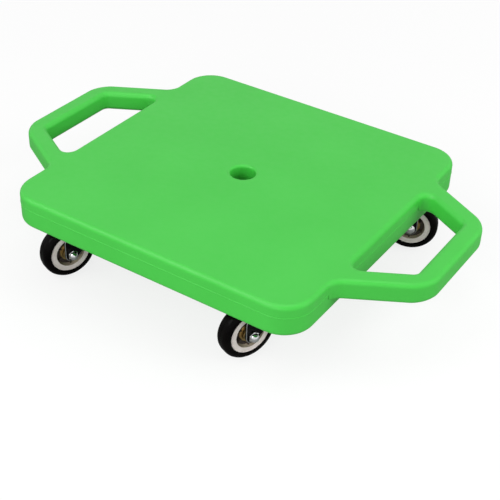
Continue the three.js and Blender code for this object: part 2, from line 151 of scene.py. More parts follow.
greenShell = {
    "tint": [(0.3, "#40c142"), (0.5, "#42c344"), (0.7, "#44c546")],
    "ior": 1.51,
    "rough": (0.38, 0.46),
    "drift": (70, 3, 0.5),   # slow drift of the pigment
    "peel": (7, 2, 0.5),     # waviness left by the mould
    "peelHeight": 0.02,
    "grain": (1.1, 4, 0.6),  # drawn coarser than the real spark-eroded grain so that it shows
    "grainHeight": 0.012,
}


def mouldedPolyethylene():
    # Moulded polyethylene, dyed through: semi-matte and a little waxy, with a fine even grain
    look = greenShell
    material, shader, (drift, peel, grain) = startMaterial(
        "mouldedPolyethyleneGreen", {"IOR": look["ior"]}, look, ("drift", "peel", "grain"),
    )
    relief = [(grain, look["grainHeight"]), (peel, look["peelHeight"])]
    return dressShader(material, shader, look, drift, peel, relief)


blackTyre = {
    "tint": [(0.35, "#050404"), (0.75, "#0c0a09")],
    "ior": 1.52, "specular": 0.05, "rough": (0.2, 0.3),
    "bloom": (9, 3, 0.5), "grain": (0.7, 3, 0.5), "grainHeight": 0.008,
}


def mouldedRubber():
    # Moulded solid rubber: near black with a soft sheen and a faint bloom
    look = blackTyre
    material, shader, (bloom, grain) = startMaterial("mouldedRubberBlack", {
        "IOR": look["ior"], "Specular IOR Level": look["specular"],
    }, look, ("bloom", "grain"))
    return dressShader(material, shader, look, bloom, bloom, [(grain, look["grainHeight"])])


paleRing = {
    "tint": [(0.35, "#e0d6d1"), (0.65, "#eae2de")],
    "ior": 1.53, "roughness": 0.38, "cloud": (6, 3, 0.5), "grain": (0.5, 2, 0.5), "grainHeight": 0.008,
}
# The dish wall and the web are one nylon in painted shade: their darker browns stand for the shade deep in
# the wheel's recess, darkest on the web at its bottom
dishWallInPaintedShade = {
    "tint": [(0.35, "#978b7b"), (0.65, "#b0a592")],
    "ior": 1.53, "roughness": 0.3, "cloud": (3, 3, 0.5), "grain": (0.6, 2, 0.5), "grainHeight": 0.01,
}
webInPaintedDeepShade = {
    "tint": [(0.35, "#2a231e"), (0.65, "#43382f")],
    "ior": 1.53, "roughness": 0.3, "cloud": (3, 3, 0.5), "grain": (0.6, 2, 0.5), "grainHeight": 0.012,
}


def mouldedNylon(name, look):
    # Injection moulded nylon: slightly cloudy, smooth, with a soft gloss
    material, shader, (cloud, grain) = startMaterial(name, {
        "IOR": look["ior"], "Roughness": look["roughness"],
    }, look, ("cloud", "grain"))
    return dressShader(material, shader, look, cloud, relief=[(grain, look["grainHeight"])])


blackForkPaint = {
    "tint": [(0.35, "#060607"), (0.65, "#0c0c0e")],
    "ior": 1.52, "specular": 0.1, "rough": (0.12, 0.2), "flow": (5, 2, 0.5), "flowHeight": 0.02,
}


def bakedEnamel():
    # Baked black enamel on pressed steel: glossy, with the slight flow of a dipped coat
    look = blackForkPaint
    material, shader, (flow,) = startMaterial("bakedEnamelBlack", {
        "IOR": look["ior"], "Specular IOR Level": look["specular"],
    }, look, ("flow",))
    return dressShader(material, shader, look, flow, flow, [(flow, look["flowHeight"])])


brightZinc = {
    "tint": [(0.3, "#b0b2b4"), (0.7, "#c8cacb")],
    "rough": (0.28, 0.4), "spangle": (2.5, 4, 0.5), "spangleHeight": 0.002,
}
yellowZinc = {
    "tint": [(0.3, "#b0935a"), (0.7, "#d2b77c")],
    "rough": (0.3, 0.42), "spangle": (1.6, 4, 0.5), "spangleHeight": 0.006,
}


def zincPlate(name, look):
    # Zinc plate on pressed steel, bright or passivated yellow: mottled, half glossy
    material, shader, (spangle,) = startMaterial(name, {"Metallic": 1.0}, look, ("spangle",))
    return dressShader(material, shader, look, spangle, spangle, [(spangle, look["spangleHeight"])])


polishedChrome = {"tint": [(0.3, "#dfe1e4"), (0.7, "#f0f1f2")], "rough": (0.04, 0.1), "smear": (3, 2, 0.5)}


def chromePlate():
    # Polished chrome plate: mirror bright, with faint handling smears
    look = polishedChrome
    material, shader, (smear,) = startMaterial("polishedChromePlate", {"Metallic": 1.0}, look, ("smear",))
    return dressShader(material, shader, look, smear, smear)


finishes = {
    "green": mouldedPolyethylene(),
    "rubber": mouldedRubber(),
    "ring": mouldedNylon("mouldedNylonPale", paleRing),
    # The web and dish finishes carry painted shade for the wheel's recess
    "web": mouldedNylon("mouldedNylonPaintedDeepShade", webInPaintedDeepShade),
    "dish": mouldedNylon("mouldedNylonPaintedShade", dishWallInPaintedShade),
    "enamel": bakedEnamel(),
    "zinc": zincPlate("brightZincPlate", brightZinc),
    "yellowZinc": zincPlate("yellowZincPlate", yellowZinc),
    "chrome": chromePlate(),
}
print("finishes made:", len(finishes))


# Shaping helpers. Sizes are written in millimetres and turned to metres here.
fineness = {
    "sameHeight": 0.01,   # mm, a vertex this near a height counts as on it
    "square": 1,          # radians, faces that turn further than this meet in a sharp edge
    "merge": 1e-7,        # metres
    "profileSteps": 5,    # segments of a corner rounded in a profile
    "smoothBelow": 32,    # degrees, edges that turn less than this are shaded smooth
    "flatWeight": 80,     # how strongly the large faces hold the shading
}
quarters = ((1, 1), (-1, 1), (-1, -1), (1, -1))  # signs of x and y, once round


def addLoop(bm, points):
    # Closed loop of edges through (x, y, z) points
    verts = [bm.verts.new(Vector(point) * mm) for point in points]
    for i, vert in enumerate(verts):
        bm.edges.new((vert, verts[(i + 1) % len(verts)]))
    return verts


def roundCorner(bm, vert, radius, segments):
    # Rounds one corner of a loop to a radius
    first, second = [(edge.other_vert(vert).co - vert.co).normalized() for edge in vert.link_edges]
    reach = radius * mm / math.tan(first.angle(second) / 2)
    bmesh.ops.bevel(
        bm, geom=[vert], offset=reach, offset_type="OFFSET",
        segments=segments, profile=0.5, affect="VERTICES", material=-1,
    )


def addRoundedRectangle(bm, length, width, radius, segments, z, x=0, y=0):
    corners = [(x + sx * length / 2, y + sy * width / 2, z) for sx, sy in quarters]
    for vert in addLoop(bm, corners):
        roundCorner(bm, vert, radius, segments)


def addCircle(bm, radius, segments, z, x=0, y=0):
    place = Matrix.Translation(Vector((x, y, z)) * mm)
    bmesh.ops.create_circle(bm, cap_ends=False, segments=segments, radius=radius * mm, matrix=place)


def addBlock(bm, size, centre, turn=0):
    # Block about a centre, then turned by some radians about the Z axis
    place = Matrix.Rotation(turn, 4, "Z") @ Matrix.Translation(Vector(centre) * mm)
    scale = Matrix.Diagonal((*[side * mm for side in size], 1))
    return bmesh.ops.create_cube(bm, size=1, matrix=place @ scale)["verts"]


def onlyVerts(items):
    return [item for item in items if isinstance(item, bmesh.types.BMVert)]


def fillLoops(bm, edges):
    bmesh.ops.triangle_fill(bm, use_beauty=True, use_dissolve=False, edges=edges)


def raiseFaces(bm, faces, height):
    made = bmesh.ops.extrude_face_region(bm, geom=faces)["geom"]
    bmesh.ops.translate(bm, verts=onlyVerts(made), vec=(0, 0, height * mm))


def thickenLoops(bm, thickness):
    # Fills the loops drawn so far and raises them to a plate
    fillLoops(bm, bm.edges[:])
    raiseFaces(bm, bm.faces[:], thickness)
    bmesh.ops.recalc_face_normals(bm, faces=bm.faces[:])


def liesAt(item, z):
    # Whether an edge or a face lies flat at a height
    return all(abs(vert.co.z / mm - z) < fineness["sameHeight"] for vert in item.verts)


def middleOf(edge):
    return (edge.verts[0].co + edge.verts[1].co) / 2 / mm


def sharpEdges(bm, z, within=None, beyond=None):
    # Edges between faces that meet squarely, at a height and inside or outside a radius
    found = []
    for edge in bm.edges:
        if len(edge.link_faces) != 2 or edge.calc_face_angle() < fineness["square"] or not liesAt(edge, z):
            continue
        distance = middleOf(edge).xy.length
        if within is not None and distance > within or beyond is not None and distance < beyond:
            continue
        found.append(edge)
    return found


def roundEdges(bm, edges, radius, segments):
    bmesh.ops.bevel(
        bm, geom=[edge for edge in edges if edge.is_valid], offset=radius * mm, offset_type="OFFSET",
        segments=segments, profile=0.5, affect="EDGES", material=-1,
    )


def sortByPlace(bm):
    # Bevels leave their parts in an order that varies, so they are sorted and every run gives one mesh
    for items, place in (
        (bm.verts, lambda vert: vert.co),
        (bm.edges, lambda edge: edge.verts[0].co + edge.verts[1].co),
        (bm.faces, lambda face: face.calc_center_median()),
    ):
        ordered = sorted(items, key=lambda item: place(item)[:])
        ranks = {item: rank for rank, item in enumerate(ordered)}
        items.sort(key=ranks.get)


def refillFlat(bm, z):
    # Flat faces at a height are filled anew, so that none folds over where its rim moved in
    sortByPlace(bm)
    flat = [face for face in bm.faces if liesAt(face, z)]
    inside = set(flat)
    rim = [edge for edge in bm.edges if len(inside.intersection(edge.link_faces)) == 1]
    bmesh.ops.delete(bm, geom=flat, context="FACES")
    fillLoops(bm, rim)


def shadeMesh(mesh, smoothBelow):
    mesh.shade_smooth()
    mesh.set_sharp_from_angle(angle=math.radians(smoothBelow))


def meshFrom(bm, name, smoothBelow=fineness["smoothBelow"]):
    bmesh.ops.remove_doubles(bm, verts=bm.verts[:], dist=fineness["merge"])
    bmesh.ops.recalc_face_normals(bm, faces=bm.faces[:])
    sortByPlace(bm)
    mesh = bpy.data.meshes.new(name)
    bm.to_mesh(mesh)
    bm.free()
    shadeMesh(mesh, smoothBelow)
    return mesh


def addTo(bm, part, name):
    # Adds a part, shaped on its own, to a piece
    mesh = bpy.data.meshes.new(name)
    part.to_mesh(mesh)
    part.free()
    bm.from_mesh(mesh)


def carve(mesh, cutter, name):
    # The mesh with the cutter's space taken out of it
    body = bpy.data.objects.new(name + "Blank", mesh)
    tool = bpy.data.objects.new(name + "Cutter", cutter)
    for item in (body, tool):
        bpy.context.scene.collection.objects.link(item)
    cut = body.modifiers.new("cut", "BOOLEAN")
    cut.operation = "DIFFERENCE"
    cut.solver = "EXACT"
    cut.object = tool
    bpy.context.view_layer.update()
    carved = bpy.data.meshes.new_from_object(body.evaluated_get(bpy.context.evaluated_depsgraph_get()))
    carved.name = name
    bpy.data.objects.remove(body)
    bpy.data.objects.remove(tool)
    return carved


def addPiece(name, mesh, finish, body, nodes):
    piece = bpy.data.objects.new(name, mesh)
    bpy.context.scene.collection.objects.link(piece)
    for one in finish:
        mesh.materials.append(finishes[one])
    weighted = piece.modifiers.new("flatFacesStayFlat", "WEIGHTED_NORMAL")
    weighted.keep_sharp = True
    weighted.weight = fineness["flatWeight"]
    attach(piece, body)
    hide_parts(*nodes)
    return piece


# Deck: an upper shell with both grips and a lower shell under it
deckShape = {
    "length": 304.5, "width": 304.5, "cornerRadius": 28.25, "cornerSteps": 16,
    "top": 89.074, "seam": 77.574, "bottom": 58.574,  # heights above the floor
    "topEdge": 4.4, "bottomEdge": 4.5, "edgeSteps": 6,
    "ropeHole": 11.8, "holeSteps": 64, "holeEdge": 2.6, "holeEdgeSteps": 5,
    "holeZone": 30,  # edges nearer the middle than this are the rope hole's
    "wallZone": 1,   # edges nearer the side walls than this are the outer rim's
}
seamShape = {
    "gap": 0.3, "ease": 0.3, "easeSteps": 2,
    "easeFrom": 10,  # the lip is eased from this far past the grips' roots
    "beadWidth": 1.3, "beadProud": 0.25, "beadRound": 0.45, "beadSteps": 3, "beadInset": 2,
    "cutBelow": 5, "cutPast": 45,  # how far the cut that ends the upper shell reaches past it
    "flatWithin": 0.5,  # degrees
}
gripShape = {
    "reach": 69, "barWidth": 18.8, "thickness": 20,
    "rootHalf": 94.9, "barHalf": 55.7, "cornerRadius": 28.5, "rootRadius": 14,
    "gapRootHalf": 73.4, "gapBarHalf": 44.9, "gapRootRadius": 9, "gapBarRadius": 6, "gapSlack": 1,
    "gapEdge": 5, "underEdge": 4.5, "steps": 12,
}
casterWell = {
    "x": 100, "y": 95.5, "length": 70, "width": 54, "radius": 8, "steps": 8,
    "ceiling": 63.152, "lip": 0.8, "lipSteps": 3,
}


def addGripOutline(bm, z):
    # Outer outline of the upper shell, grips included
    halfLength, halfWidth = deckShape["length"] / 2, deckShape["width"] / 2
    tip = halfLength + gripShape["reach"]
    quarter = [
        (tip, gripShape["barHalf"], gripShape["cornerRadius"]),
        (halfLength, gripShape["rootHalf"], gripShape["rootRadius"]),
        (halfLength, halfWidth, deckShape["cornerRadius"]),
    ]
    corners = []
    for sx, sy in quarters:
        turn = quarter if sx * sy > 0 else quarter[::-1]
        corners += [(sx * x, sy * y, radius) for x, y, radius in turn]
    verts = addLoop(bm, [(x, y, z) for x, y, radius in corners])
    for vert, (x, y, radius) in zip(verts, corners):
        roundCorner(bm, vert, radius, gripShape["steps"])


def addGripGap(bm, side, z):
    root = side * deckShape["length"] / 2
    bar = root + side * (gripShape["reach"] - gripShape["barWidth"])
    rootHalf, barHalf = gripShape["gapRootHalf"], gripShape["gapBarHalf"]
    verts = addLoop(bm, [(bar, -barHalf, z), (bar, barHalf, z), (root, rootHalf, z), (root, -rootHalf, z)])
    for i, vert in enumerate(verts):
        radius = gripShape["gapBarRadius"] if i < 2 else gripShape["gapRootRadius"]
        roundCorner(bm, vert, radius, gripShape["steps"])


def atGap(edge):
    # Edges of the finger gaps lie inside the middle line of the grip's legs
    middle, slack = middleOf(edge), gripShape["gapSlack"]
    out = abs(middle.x) - deckShape["length"] / 2
    run = gripShape["reach"] - gripShape["barWidth"]
    atRoot = (gripShape["rootHalf"] + gripShape["gapRootHalf"]) / 2
    atBar = (gripShape["barHalf"] + gripShape["gapBarHalf"]) / 2 + gripShape["barWidth"] / 4
    return -slack < out < run + slack and abs(middle.y) < atRoot + (atBar - atRoot) * out / run


def buildUpperShell():
    top, seam, holeZone = deckShape["top"], deckShape["seam"], deckShape["holeZone"]
    underside = top - gripShape["thickness"]
    bm = bmesh.new()
    addGripOutline(bm, underside)
    addGripGap(bm, 1, underside)
    addGripGap(bm, -1, underside)
    addCircle(bm, deckShape["ropeHole"], deckShape["holeSteps"], underside)
    thickenLoops(bm, gripShape["thickness"])
    roundEdges(bm, sharpEdges(bm, top, within=holeZone), deckShape["holeEdge"], deckShape["holeEdgeSteps"])
    for height, outerEdge in ((top, deckShape["topEdge"]), (underside, gripShape["underEdge"])):
        rims = sharpEdges(bm, height, beyond=holeZone)
        gaps = [edge for edge in rims if atGap(edge)]
        outer = [edge for edge in rims if edge not in gaps]
        roundEdges(bm, gaps, gripShape["gapEdge"], deckShape["edgeSteps"])
        roundEdges(bm, outer, outerEdge, deckShape["edgeSteps"])
    refillFlat(bm, top)
    refillFlat(bm, underside)
    whole = meshFrom(bm, "deckWithGrips")

    # Under the deck itself the upper shell ends at the seam
    bm = bmesh.new()
    low = underside - seamShape["cutBelow"]
    length = deckShape["length"] + 2 * seamShape["gap"]
    width = deckShape["width"] + 2 * seamShape["cutPast"]
    addBlock(bm, (length, width, seam - low), (0, 0, (low + seam) / 2))
    carved = carve(whole, meshFrom(bm, "underDeck"), "deckUpperShell")

    bm = bmesh.new()
    bm.from_mesh(carved)
    bmesh.ops.dissolve_limit(
        bm, angle_limit=math.radians(seamShape["flatWithin"]), verts=bm.verts[:],
        edges=[edge for edge in bm.edges if liesAt(edge, seam)],
    )
    easeFrom = gripShape["rootHalf"] + seamShape["easeFrom"]
    lip = [edge for edge in sharpEdges(bm, seam, beyond=holeZone) if abs(middleOf(edge).y) > easeFrom]
    roundEdges(bm, lip, seamShape["ease"], seamShape["easeSteps"])
    shell = meshFrom(bm, "deckUpperShell")
    addPiece("deckUpperShell", shell, ["green"], "deck", ["deck_upper_shell"])


def addDeckOutline(bm, proud, holeRadius, z):
    # The deck's outline, this much proud of its walls, and a hole in the middle
    addRoundedRectangle(
        bm, deckShape["length"] + 2 * proud, deckShape["width"] + 2 * proud,
        deckShape["cornerRadius"] + proud, deckShape["cornerSteps"], z,
    )
    addCircle(bm, holeRadius, deckShape["holeSteps"], z)


def addSeamBead(bm):
    # Thin raised line where the two shells meet
    width = seamShape["beadWidth"]
    low = deckShape["seam"] - seamShape["gap"] / 2 - width / 2
    bead = bmesh.new()
    addDeckOutline(bead, seamShape["beadProud"], deckShape["ropeHole"] + seamShape["beadInset"], low)
    thickenLoops(bead, width)
    rims = [edge for z in (low, low + width) for edge in sharpEdges(bead, z, beyond=deckShape["holeZone"])]
    roundEdges(bead, rims, width * seamShape["beadRound"], seamShape["beadSteps"])
    addTo(bm, bead, "seamBead")


def buildLowerShell():
    bottom, top, holeZone = deckShape["bottom"], deckShape["seam"] - seamShape["gap"], deckShape["holeZone"]
    bm = bmesh.new()
    for sx, sy in quarters:
        addRoundedRectangle(
            bm, casterWell["length"], casterWell["width"], casterWell["radius"], casterWell["steps"],
            bottom, sx * casterWell["x"], sy * casterWell["y"],
        )
    wells = bm.edges[:]
    addDeckOutline(bm, 0, deckShape["ropeHole"], bottom)
    walls = [edge for edge in bm.edges if edge not in wells]
    fillLoops(bm, bm.edges[:])
    for edges, height in ((wells, casterWell["ceiling"] - bottom), (walls, top - bottom)):
        made = bmesh.ops.extrude_edge_only(bm, edges=edges)["geom"]
        bmesh.ops.translate(bm, verts=onlyVerts(made), vec=(0, 0, height * mm))
        fillLoops(bm, [item for item in made if isinstance(item, bmesh.types.BMEdge)])
    bmesh.ops.recalc_face_normals(bm, faces=bm.faces[:])
    roundEdges(bm, sharpEdges(bm, bottom, within=holeZone), deckShape["holeEdge"], deckShape["holeEdgeSteps"])

    # The rim outside the wells is the outer one
    halfLength, halfWidth = [deckShape[side] / 2 - deckShape["wallZone"] for side in ("length", "width")]
    inCorner = math.hypot(halfLength, halfWidth) - deckShape["cornerRadius"]
    lips, outer = [], []
    for edge in sharpEdges(bm, bottom, beyond=holeZone):
        middle = middleOf(edge)
        atSide = abs(middle.x) > halfLength or abs(middle.y) > halfWidth
        (outer if atSide or middle.xy.length > inCorner else lips).append(edge)
    roundEdges(bm, lips, casterWell["lip"], casterWell["lipSteps"])
    roundEdges(bm, outer, deckShape["bottomEdge"], deckShape["edgeSteps"])
    roundEdges(bm, sharpEdges(bm, top, beyond=holeZone), seamShape["ease"], seamShape["easeSteps"])
    refillFlat(bm, bottom)
    refillFlat(bm, top)
    addSeamBead(bm)
    shell = meshFrom(bm, "deckLowerShell")
    addPiece("deckLowerShell", shell, ["green"], "deck", ["deck_lower_shell"])


buildUpperShell()
buildLowerShell()
print("deck shells built")


# Casters: each piece is shaped once about its kingpin, trailing to +X, and then set in its four places.
# Heights are above the floor. Profiles are (radius, height) pairs.
casterHeights = {
    "axle": 26.174, "trail": 30,
    "crownBottom": 50.952, "crownTop": 53.352, "balls": 55.052,
    "cupInside": 56.752, "cupTop": 60.052, "plateBottom": 60.352, "plateTop": 62.852,
    "screwTop": 72.152,
}


def drawProfile(bm, path, closed):
    # Path entries are (radius, height), (radius, height, rounding), or an arc that swings the last
    # point about a centre in the profile's plane
    verts, roundings = [], []
    for step in path:
        if isinstance(step, dict):
            centre = Vector((step["about"][0], 0, step["about"][1])) * mm
            made = bmesh.ops.spin(
                bm, geom=[verts[-1]], cent=centre, axis=(0, 1, 0), dvec=(0, 0, 0),
                angle=math.radians(step["degrees"]), steps=step["steps"],
                use_merge=False, use_duplicate=False,
            )
            verts += onlyVerts(made["geom_last"])
            continue
        vert = bm.verts.new(Vector((step[0], 0, step[1])) * mm)
        if verts:
            bm.edges.new((verts[-1], vert))
        verts.append(vert)
        if len(step) > 2:
            roundings.append((vert, step[2]))
    if closed:
        bm.edges.new((verts[-1], verts[0]))
    for vert, radius in roundings:
        roundCorner(bm, vert, radius, fineness["profileSteps"])


def turnProfile(path, steps, closed=True):
    bm = bmesh.new()
    drawProfile(bm, path, closed)
    bmesh.ops.spin(
        bm, geom=bm.verts[:] + bm.edges[:], cent=(0, 0, 0), axis=(0, 0, 1), dvec=(0, 0, 0),
        angle=math.tau, steps=steps, use_merge=True, use_duplicate=False,
    )
    bmesh.ops.remove_doubles(bm, verts=bm.verts[:], dist=10 * fineness["merge"])
    return bm


def domeArc(radius, height, peak, steps, down):
    # Arc over a dome from its peak on the axis to its rim
    ball = (radius ** 2 + height ** 2) / (2 * height)
    swing = math.degrees(math.asin(radius / ball))
    centre = peak + ball if down else peak - ball
    return {"about": (0, centre), "degrees": -swing if down else swing, "steps": steps}


def layOnAxle(bm):
    # Stands the turning axis along Y through the axle
    place = Matrix.Translation(Vector((casterHeights["trail"], 0, casterHeights["axle"])) * mm)
    bmesh.ops.transform(bm, matrix=place @ Matrix.Rotation(-math.pi / 2, 4, "X"), verts=bm.verts[:])


tyreShape = {
    "radius": 26.17, "half": 8, "seat": 19.5, "lip": 20.2, "lipStep": 0.7, "shoulder": 5.5,
    "lineHalf": 0.45, "lineDepth": 0.25, "steps": 96, "smoothBelow": 24,
}


def buildTyre():
    radius, half, line = tyreShape["radius"], tyreShape["half"], tyreShape["lineHalf"]
    bm = turnProfile([
        (tyreShape["seat"], tyreShape["lipStep"] - half), (tyreShape["lip"], -half),
        (radius, -half, tyreShape["shoulder"]),
        (radius, -line), (radius - tyreShape["lineDepth"], 0), (radius, line),
        (radius, half, tyreShape["shoulder"]),
        (tyreShape["lip"], half), (tyreShape["seat"], half - tyreShape["lipStep"]),
    ], tyreShape["steps"])
    layOnAxle(bm)
    return meshFrom(bm, "tyre", tyreShape["smoothBelow"])


hubShape = {
    "bore": 5.2, "boss": 7.6, "bossHalf": 8.3, "bossEdge": 0.6,
    "cover": 9.2, "coverHalf": 4.2, "coverFoot": 0.4, "coverEdge": 0.6,  # bearing cover round the boss
    "webHalf": 2.5, "webFoot": 0.3, "dish": 14, "dishSlope": 1.4, "dishFoot": 1.2, "dishEdge": 0.5,
    "rim": 19.2, "half": 7.1, "rimEdge": 0.4, "grooveAt": 17.7, "grooveHalf": 0.3, "grooveDepth": 0.35,
    "ribs": 6, "ribWidth": 1.4, "ribHalf": 5.2, "ribEdge": 0.35, "ribEdgeSteps": 2,
    "ribInCover": 0.5, "ribInWall": 0.2,  # where each rib starts and ends
    "webBand": 0.8, "slack": 0.1,  # how far past a border a face still takes its finish
    "steps": 72,
}
hubFinishes = ["ring", "dish", "web", "yellowZinc"]


def buildHub():
    shape = hubShape
    half, web = shape["half"], shape["webHalf"]
    upper = [
        (shape["bore"], shape["bossHalf"]), (shape["boss"], shape["bossHalf"], shape["bossEdge"]),
        (shape["boss"], shape["coverHalf"], shape["coverFoot"]),
        (shape["cover"], shape["coverHalf"], shape["coverEdge"]), (shape["cover"], web, shape["webFoot"]),
        (shape["dish"] - shape["dishSlope"], web, shape["dishFoot"]),
        (shape["dish"], half, shape["dishEdge"]),
        (shape["grooveAt"] - shape["grooveHalf"], half), (shape["grooveAt"], half - shape["grooveDepth"]),
        (shape["grooveAt"] + shape["grooveHalf"], half), (shape["rim"], half, shape["rimEdge"]),
    ]
    under = [(step[0], -step[1], *step[2:]) for step in upper]
    bm = turnProfile(under + upper[::-1], shape["steps"])
    for face in bm.faces:
        # Pale rim; the dish wall and the web in painted shade, the web darkest, for the shade deep in the
        # recess; yellow bearing cover and boss
        middle = face.calc_center_median() / mm
        distance, rise = middle.xy.length, abs(middle.z)
        if distance < shape["cover"] + shape["slack"]:
            face.material_index = hubFinishes.index("yellowZinc")
        elif distance < shape["dish"] + shape["slack"] and rise < half - shape["slack"]:
            face.material_index = hubFinishes.index("web" if rise < web + shape["webBand"] else "dish")
    turned = set(bm.faces)
    inner, outer = shape["cover"] - shape["ribInCover"], shape["dish"] - shape["ribInWall"]
    for i in range(shape["ribs"]):
        size = (outer - inner, shape["ribWidth"], 2 * shape["ribHalf"])
        rib = addBlock(bm, size, ((inner + outer) / 2, 0, 0), math.tau * (i + 0.5) / shape["ribs"])
        edges = list(dict.fromkeys(edge for vert in rib for edge in vert.link_edges))
        roundEdges(bm, edges, shape["ribEdge"], shape["ribEdgeSteps"])
    for face in set(bm.faces) - turned:
        face.material_index = hubFinishes.index("web")
    layOnAxle(bm)
    return meshFrom(bm, "hub")


sleeveShape = {"bore": 3.3, "radius": 4.9, "half": 8.6, "edge": 0.3, "steps": 40}


def buildSleeve():
    bore, radius, half, edge = [sleeveShape[size] for size in ("bore", "radius", "half", "edge")]
    path = [(bore, -half), (radius, -half, edge), (radius, half, edge), (bore, half)]
    bm = turnProfile(path, sleeveShape["steps"])
    layOnAxle(bm)
    return meshFrom(bm, "sleeve")


boltShape = {
    "head": 5.2, "headTop": -11.4, "rim": 0.8, "headHeight": 3.8, "shank": 3, "tip": 14.7,
    "domeSteps": 9, "steps": 48,
}


def buildBolt():
    shape = boltShape
    peak = shape["headTop"] - shape["headHeight"]
    bm = turnProfile([
        (0, peak), domeArc(shape["head"], shape["headHeight"] - shape["rim"], peak, shape["domeSteps"], True),
        (shape["head"], shape["headTop"]), (shape["shank"], shape["headTop"]),
        (shape["shank"], shape["tip"]), (0, shape["tip"]),
    ], shape["steps"], closed=False)
    layOnAxle(bm)
    return meshFrom(bm, "bolt")


nutShape = {
    "base": 11.4, "hex": 5.2, "hexHeight": 1.8, "chamfer": 0.5, "taper": 0.88,
    "dome": 4.3, "domeHeight": 4.2, "domeSunk": 1, "domeSteps": 10, "steps": 48,
}


def buildNut():
    shape = nutShape
    shoulder = shape["base"] + shape["hexHeight"]
    peak, foot = shoulder + shape["domeHeight"], shoulder - shape["domeSunk"]
    bm = turnProfile([
        (0, peak), domeArc(shape["dome"], shape["domeHeight"], peak, shape["domeSteps"], False),
        (shape["dome"], foot), (0, foot),
    ], shape["steps"], closed=False)
    base = Matrix.Translation((0, 0, shape["base"] * mm))
    hexagon = bmesh.ops.create_circle(bm, cap_ends=True, segments=6, radius=shape["hex"] * mm, matrix=base)
    raiseFaces(bm, hexagon["verts"][0].link_faces[:], shape["hexHeight"] - shape["chamfer"])
    flats = [face for face in bm.faces if liesAt(face, shoulder - shape["chamfer"])]
    made = onlyVerts(bmesh.ops.extrude_face_region(bm, geom=flats)["geom"])
    bmesh.ops.scale(bm, vec=(shape["taper"], shape["taper"], 1), verts=made)
    bmesh.ops.translate(bm, vec=(0, 0, shape["chamfer"] * mm), verts=made)
    bmesh.ops.delete(bm, geom=[face for face in flats if face.is_valid], context="FACES_ONLY")
    layOnAxle(bm)
    return meshFrom(bm, "nut")


forkShape = {
    "inner": 8.9, "outer": 11.1,  # the two faces of a leg, from the middle of the wheel
    "eye": 7, "eyeSteps": 20, "lean": 45, "backRise": 17, "topBack": 17,
    "backCorner": 6, "backCornerSteps": 6, "topCorner": 3, "topCornerSteps": 4,
    "crownRadius": 16, "crownEdge": 0.6, "crownSteps": 64, "bridgeLap": 0.2,
    "raceInner": 9.3, "raceOuter": 13.7, "raceDepth": 0.7,  # ball race pressed into the crown
    "pinHole": 4.7, "axleHole": 3.3, "axleHoleSteps": 32, "edge": 0.7, "edgeSteps": 3,
    "rim": 0.5, "pressed": 0.6,   # flat rim left round each leg, and how far the rest is pressed in
    "bareSlopes": (0.3, 0.98),    # slopes of the rounded rim's faces that get a painted highlight in bright zinc
}
# The fork's zinc slot carries the painted highlight on the legs' rounded rims
forkFinishes = ["enamel", "zinc"]


def legFront():
    # Where the leg's sloping front edge meets the top of the crown
    lean, eye = math.radians(forkShape["lean"]), forkShape["eye"]
    rise = casterHeights["crownTop"] - casterHeights["axle"] + eye * math.sin(lean)
    return casterHeights["trail"] - eye * math.cos(lean) - rise * math.tan(lean)


def shapeLeg(side):
    # One leg lies flat first: x behind the kingpin, y up the leg
    shape = forkShape
    axle, trail, top = casterHeights["axle"], casterHeights["trail"], casterHeights["crownTop"]
    leg = bmesh.new()
    heel = leg.verts.new(Vector((trail + shape["eye"], axle, 0)) * mm)
    made = bmesh.ops.spin(
        leg, geom=[heel], cent=Vector((trail, axle, 0)) * mm, axis=(0, 0, 1), dvec=(0, 0, 0),
        angle=math.radians(shape["lean"]) - math.pi, steps=shape["eyeSteps"],
        use_merge=False, use_duplicate=False,
    )
    toe = onlyVerts(made["geom_last"])[0]
    back = (trail + shape["eye"], axle + shape["backRise"], 0)
    points = ((legFront(), top, 0), (shape["topBack"], top, 0), back)
    corners = [leg.verts.new(Vector(point) * mm) for point in points]
    for first, second in zip([toe] + corners, corners + [heel]):
        leg.edges.new((first, second))
    roundCorner(leg, corners[2], shape["backCorner"], shape["backCornerSteps"])
    roundCorner(leg, corners[1], shape["topCorner"], shape["topCornerSteps"])
    addCircle(leg, shape["axleHole"], shape["axleHoleSteps"], 0, trail, axle)
    thickness = shape["outer"] - shape["inner"]
    thickenLoops(leg, thickness)
    roundEdges(leg, sharpEdges(leg, 0) + sharpEdges(leg, thickness), shape["edge"], shape["edgeSteps"])
    refillFlat(leg, 0)
    refillFlat(leg, thickness)

    outerFace = thickness if side < 0 else 0
    flat = [face for face in leg.faces if liesAt(face, outerFace)]
    lowSlope, highSlope = shape["bareSlopes"]
    for face in leg.faces:
        # Painted highlight: faces of the rounded rim get bright zinc, a bright line that stands for light
        # caught on the edge
        face.normal_update()
        nearOuter = abs(face.calc_center_median().z / mm - outerFace) < shape["edge"]
        if nearOuter and lowSlope < abs(face.normal.z) < highSlope:
            face.material_index = forkFinishes.index("zinc")
    for width, depth in ((shape["rim"], 0), (shape["pressed"], -shape["pressed"])):
        bmesh.ops.inset_region(
            leg, faces=flat, thickness=width * mm, depth=depth * mm, use_boundary=True, use_even_offset=True,
        )
    shift = shape["outer"] if side > 0 else -shape["inner"]
    stand = Matrix.Translation((0, shift * mm, 0)) @ Matrix.Rotation(math.pi / 2, 4, "X")
    bmesh.ops.transform(leg, matrix=stand, verts=leg.verts[:])
    return leg


